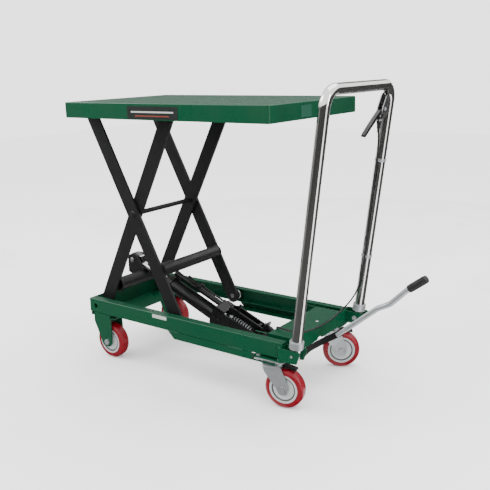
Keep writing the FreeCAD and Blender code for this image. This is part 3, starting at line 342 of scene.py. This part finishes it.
# ---------------------------------------------------------------- wheels
def wheel_details():
    """Dark rings painted as the shade in each hub groove, a bearing cap on each face and a mould line round each
    tyre.
    """
    for kind in ("fixed_wheel", "caster_wheel"):
        for side in BODIES:
            joint = JOINTS["%s_spin_%s" % (kind, side)]
            centre, axle = Vector(joint["pos_m"]), Vector(joint["axis"]).normalized()
            body = "%s_%s" % (kind, side)
            for face, sign in (("a", -1), ("b", 1)):
                out = axle * sign
                tag = "%s_%s_%s" % (kind, side, face)
                # Painted shade: a dark ring laid in the hub's groove.
                groove_shade = ring("groove_shade_" + tag, GROOVE_SHADE, centre + out * 0.0166, out, GROOVE_RADIUS, 0.0026)
                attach(groove_shade, body)
                edge = ring("rim_" + tag, "hub_grey", centre + out * 0.0183, out, RIM_RADIUS, 0.0011)
                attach(edge, body)
                bearing = ring("bearing_" + tag, "steel", centre + out * 0.0209, out,
                               BEARING_RADIUS, 0.0013)
                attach(bearing, body)
            line = ring("tyre_line_%s_%s" % (kind, side), "red_tyre", centre, axle,
                        TYRE_LINE_RADIUS, 0.0005)
            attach(line, body)


wheel_details()


def caster_details():
    """The swivel's dust ring and kingpin, the axle washers and the brake pedal's ribs."""
    for side in BODIES:
        swivel = Vector(JOINTS["caster_swivel_" + side]["pos_m"])
        wheel = JOINTS["caster_wheel_spin_" + side]
        centre, axle = Vector(wheel["pos_m"]), Vector(wheel["axis"]).normalized()
        body = "caster_" + side
        lip = ring("dust_ring_" + side, "zinc", swivel + Z * -0.0022, Z, 0.0325, 0.0016)
        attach(lip, body)
        kingpin = dome("kingpin_" + side, "zinc", swivel - Z * 0.0062, -Z, 0.009, 0.004)
        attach(kingpin, body)
        race = ring("race_" + side, "steel", swivel + Z * 0.007, Z, 0.0212, 0.0022)
        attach(race, "base")
        for face, sign in (("a", -1), ("b", 1)):
            out = axle * sign
            washer = ring("axle_washer_%s_%s" % (side, face), "zinc", centre + out * 0.0265, out,
                          0.0104, 0.0009)
            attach(washer, body)
        trail = (centre - swivel)
        trail.z = 0
        trail.normalize()
        for i in range(4):
            spot = swivel + trail * (0.052 + 0.007 * i) - Z * (0.0009 + 0.0017 * i)
            rib = bead("brake_rib_%s_%d" % (side, i), "black_plastic", spot - axle * 0.0085,
                       spot + axle * 0.0085, 0.0010)
            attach(rib, "brake_" + side)


caster_details()


# ---------------------------------------------------------------- pins and fasteners
def pin_ends():
    """Circlips and rounded heads on the scissor's pins."""
    centre = middle("centre_rod")
    low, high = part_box("centre_rod")
    for side, y in (("near", low.y), ("far", high.y)):
        out = Vector((0, math.copysign(1, y), 0))
        cap = dome("centre_cap_" + side, "arm_paint", Vector((centre.x, y, centre.z)), out,
                   0.0115, 0.004)
        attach(cap, "inner_arms")
    for name, body in (("lower_roller", "outer_arms"), ("upper_roller", "inner_arms")):
        for side, sign in SIDE.items():
            spot = middle("%s_%s" % (name, side))
            _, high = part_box(name + "_pins")
            spot.y = sign * (high.y - 0.0005)
            clip = ring("%s_clip_%s" % (name, side), "steel", spot, Y, 0.0084, 0.0009)
            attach(clip, body)
    low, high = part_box("ram_pin")
    for side, y in (("near", low.y), ("far", high.y)):
        out = Vector((0, math.copysign(1, y), 0))
        spot = Vector(((low.x + high.x) / 2, y, (low.z + high.z) / 2))
        cap = dome("ram_pin_head_" + side, "steel", spot, out, 0.0085, 0.002)
        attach(cap, "inner_arms")


pin_ends()


# ---------------------------------------------------------------- hydraulic unit
def pump_axes():
    """The ram's direction, and the direction square to it in the XZ plane."""
    along = Vector(JOINTS["ram_slide"]["axis"]).normalized()
    return along, Vector((-along.z, 0, along.x))


ALONG, SQUARE = pump_axes()
RAM_PIN = middle("ram_pin")
RAM_PIN.y = 0


def in_pump(u, y, v):
    """A point of the hydraulic unit: u from the ram's pin along it, v square to it."""
    return RAM_PIN + ALONG * u + SQUARE * v + Y * y


def hydraulic_details():
    """Gland rings, a wiper seal, hose unions, a reservoir cap, cap screws, cheek bolts, pivot heads, a filler plug
    and the plunger's gland.
    """
    for i, u in enumerate((0.1705, 0.182, 0.194)):
        band = ring("gland_ring_%d" % i, "black_paint", in_pump(u, 0, 0), ALONG, 0.0276, 0.0012)
        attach(band, "pump_unit")
    wiper = ring("wiper_seal", "rubber", in_pump(0.1716, 0, 0), ALONG, 0.0162, 0.0018)
    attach(wiper, "pump_unit")
    union = hex_head("oil_union", "black_paint", in_pump(0.398, 0.026, 0.048), ALONG, 0.012, 0.010)
    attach(union, "pump_unit")
    union = hex_head("oil_union_top", "black_paint", in_pump(0.230, 0.026, 0.048), ALONG, 0.012, 0.009)
    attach(union, "pump_unit")
    tube_end = turned("reservoir_cap", "black_paint", in_pump(0.183, 0.010, 0.042), ALONG,
                      [(0, 0.0085), (0.002, 0.0112), (0.014, 0.0112), (0.016, 0.0104)])
    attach(tube_end, "pump_unit")
    for i, (y, v) in enumerate(((-0.029, 0.045), (0.029, 0.045), (-0.029, -0.012), (0.029, -0.012))):
        screw = turned("cap_screw_%d" % i, "zinc", in_pump(0.450, y, v), ALONG,
                       [(0, 0.0048), (0.0042, 0.0048), (0.0048, 0.0042), (0.0048, 0.0024),
                        (0.0026, 0.0022)], sides=24)
        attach(screw, "pump_unit")
    for side, sign in SIDE.items():
        for i, u in enumerate((0.418, 0.438)):
            bolt = hex_head("cheek_bolt_%s_%d" % (side, i), "black_paint",
                            in_pump(u, sign * 0.042, 0.018), Y * sign, 0.010, 0.0045)
            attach(bolt, "pump_unit")
        pivot = middle("pump_pivot_pin")
        _, pin_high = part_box("pump_pivot_pin")
        head = dome("pump_pivot_head_" + side, "steel", Vector((pivot.x, sign * pin_high.y, pivot.z)),
                    Y * sign, 0.0105, 0.003)
        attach(head, "base")
    plug = hex_head("filler_head", "black_paint", in_pump(0.438, 0.015, 0.0565), SQUARE, 0.0105, 0.004)
    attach(plug, "pump_unit")
    gland = hex_head("plunger_gland", "black_paint", in_pump(0.4505, 0, 0.030), ALONG, 0.031, 0.012)
    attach(gland, "pump_unit")


hydraulic_details()


# ---------------------------------------------------------------- pedal
def pedal_details():
    """The ribbed grip, its rounded end and the rivets where the tube meets the lever."""
    _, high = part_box("pedal_grip")
    tube_low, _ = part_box("pedal_tube")
    slope = math.radians(37.20)
    lean = Vector((math.cos(slope), 0, math.sin(slope)))
    tip = Vector((high.x - GRIP_RADIUS * lean.z, 0, high.z - GRIP_RADIUS * lean.x))
    for i in range(12):
        spot = tip - lean * (0.006 + 0.0042 * i)
        rib = ring("grip_rib_%02d" % i, "rubber", spot, lean, GRIP_RADIUS - 0.0002, 0.0009, sides=40)
        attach(rib, "pedal")
    cap = dome("grip_end", "rubber", tip, lean, GRIP_RADIUS - 0.0004, 0.004)
    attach(cap, "pedal")
    slope = math.radians(39.90)
    start = Vector((math.cos(slope), 0, math.sin(slope)))
    foot = Vector((tube_low.x + PEDAL_TUBE_RADIUS * start.z, 0,
                   tube_low.z + PEDAL_TUBE_RADIUS * start.x))
    for i, offset in enumerate((0.010, 0.030)):
        rivet = dome("pedal_rivet_%d" % i, "zinc", foot + start * offset - Y * 0.0078, -Y,
                     0.0036, 0.0016)
        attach(rivet, "pedal")


pedal_details()


# ---------------------------------------------------------------- handle and cable
def cable_details():
    """Rubber boots at both ends of the cable, the lever's pin head and the cable's barrel nut."""
    normal = Vector(JOINTS["hand_lever_pull"]["axis"]).normalized()
    rise = normal.cross(Y) * -1
    if rise.z < 0:
        rise = -rise
    pivot = Vector(JOINTS["hand_lever_pull"]["pos_m"])
    foot = pivot - Y * 0.0112 - rise * 0.0355
    boot = turned("cable_boot", "rubber", foot, Y * 0.16 - rise,
                  [(0, 0.0072), (0.004, 0.0078), (0.006, 0.0066), (0.012, 0.0064), (0.014, 0.0056),
                   (0.022, 0.0052), (0.024, 0.0045), (0.036, 0.0036)], sides=28)
    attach(boot, "base")
    head = dome("lever_pin_head", "zinc", pivot + normal * 0.0105, normal, 0.005, 0.002)
    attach(head, "hand_lever")
    screw = turned("barrel_nut", "black_plastic", pivot - Y * 0.0115 - rise * 0.0225, Y * 0.05 - rise,
                   [(0, 0.0074), (0.001, 0.0082), (0.006, 0.0082), (0.007, 0.0074)], sides=24)
    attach(screw, "base")
    ferrule = turned("ferrule_boot", "rubber", in_pump(0.613, 0, 0.083), ALONG,
                     [(0, 0.0062), (0.004, 0.0064), (0.006, 0.0054), (0.014, 0.0042), (0.018, 0.0034)],
                     sides=28)
    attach(ferrule, "pump_unit")


cable_details()


def handle_welds():
    """The faint seam where each leg passes its clamp collar."""
    _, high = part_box("push_handle")
    lean = math.radians(7.59)
    axis = Vector((math.sin(lean), 0, math.cos(lean)))
    _, fix_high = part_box("handle_fixings")
    for side, sign in SIDE.items():
        y = sign * (high.y - LEG_RADIUS)
        top = Vector((fix_high.x - 0.0225, y, fix_high.z - 0.0025))
        lip = ring("collar_lip_" + side, "zinc", top, axis, 0.0186, 0.0014)
        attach(lip, "base")


handle_welds()


# ---------------------------------------------------------------- stage
def area_light(name, place, target, size, power):
    data = bpy.data.lights.new(name, "AREA")
    data.shape = "RECTANGLE"
    data.size, data.size_y = size
    data.energy = power
    lamp = bpy.data.objects.new(name, data)
    lamp.location = place
    lamp.rotation_euler = (Vector(target) - Vector(place)).to_track_quat("-Z", "Y").to_euler()
    bpy.context.scene.collection.objects.link(lamp)


def dark_wall(name, start, end, look, top, reach=3.3):
    """A curved dark screen and its foot, seen only in reflections, between two bearings in degrees."""
    bearings = [math.radians(start + (end - start) * i / 16) for i in range(17)]
    rows = [(0.30, 0.006), (reach, 0.02), (reach, top)]
    verts = [(r * math.sin(b), -r * math.cos(b), z) for r, z in rows for b in bearings]
    faces = [(k + i, k + i + 1, k + i + 18, k + i + 17) for k in (0, 17) for i in range(16)]
    panel = mesh_object(name, verts, faces, look)
    panel.visible_camera = False
    panel.visible_diffuse = False
    panel.visible_shadow = False
    return panel


def studio():
    """A white floor, a bright even surround and large soft lights."""
    floor = mesh_object("floor", [(-8, -8, 0), (8, -8, 0), (8, 8, 0), (-8, 8, 0)], [(0, 1, 2, 3)],
                        finish("floor_look", (0.93, 0.93, 0.93), 0.7, grain=1.5, relief=0.01, vary=0.01))
    dark = finish("dark_card_look", (0.02, 0.02, 0.02), 0.9, relief=0.0, vary=0.05)
    grey = finish("grey_card_look", (0.11, 0.11, 0.11), 0.9, relief=0.0, vary=0.05)
    for name, start, end, look, top in (
            ("card_left", -106, -44, grey, 1.35), ("card_front", -44, 68, dark, 1.35),
            ("card_right", 92, 170, dark, 1.6), ("card_back", 178, 240, grey, 3.2)):
        dark_wall(name, start, end, look, top)
    world = bpy.data.worlds.new("Studio")
    world.use_nodes = True
    world.node_tree.nodes["Background"].inputs["Color"].default_value = (1.0, 1.0, 1.0, 1)
    world.node_tree.nodes["Background"].inputs["Strength"].default_value = 2.6
    bpy.context.scene.world = world
    area_light("key", (-2.3, -1.2, 2.6), (0, 0, 0.4), (1.6, 1.2), 60)
    area_light("fill", (2.9, -0.3, 1.5), (0, 0, 0.5), (0.5, 1.8), 26)
    area_light("top", (0.3, 0.8, 3.0), (0, 0, 0.6), (2.2, 2.2), 45)


studio()


def camera():
    """The viewing angle: azimuth and elevation of the camera seen from the object."""
    azimuth, elevation, roll = math.radians(36.19), math.radians(14.2), math.radians(-1.49)
    distance, focal_px, frame_px = 2.370, 718.0, 490.0
    target = Vector((-0.04022, 0, 0.4381))
    back = Vector((math.sin(azimuth) * math.cos(elevation),
                   -math.cos(azimuth) * math.cos(elevation), math.sin(elevation)))
    right = (-back).cross(Z).normalized()
    up = right.cross(-back)
    across = right * math.cos(roll) + up * math.sin(roll)
    rise = up * math.cos(roll) - right * math.sin(roll)
    data = bpy.data.cameras.new("Camera")
    data.sensor_width = 36
    data.lens = focal_px * data.sensor_width / frame_px
    eye = bpy.data.objects.new("Camera", data)
    turn = Matrix((across, rise, back)).transposed().to_4x4()
    eye.matrix_world = Matrix.Translation(target + back * distance) @ turn
    bpy.context.scene.collection.objects.link(eye)
    bpy.context.scene.camera = eye


camera()
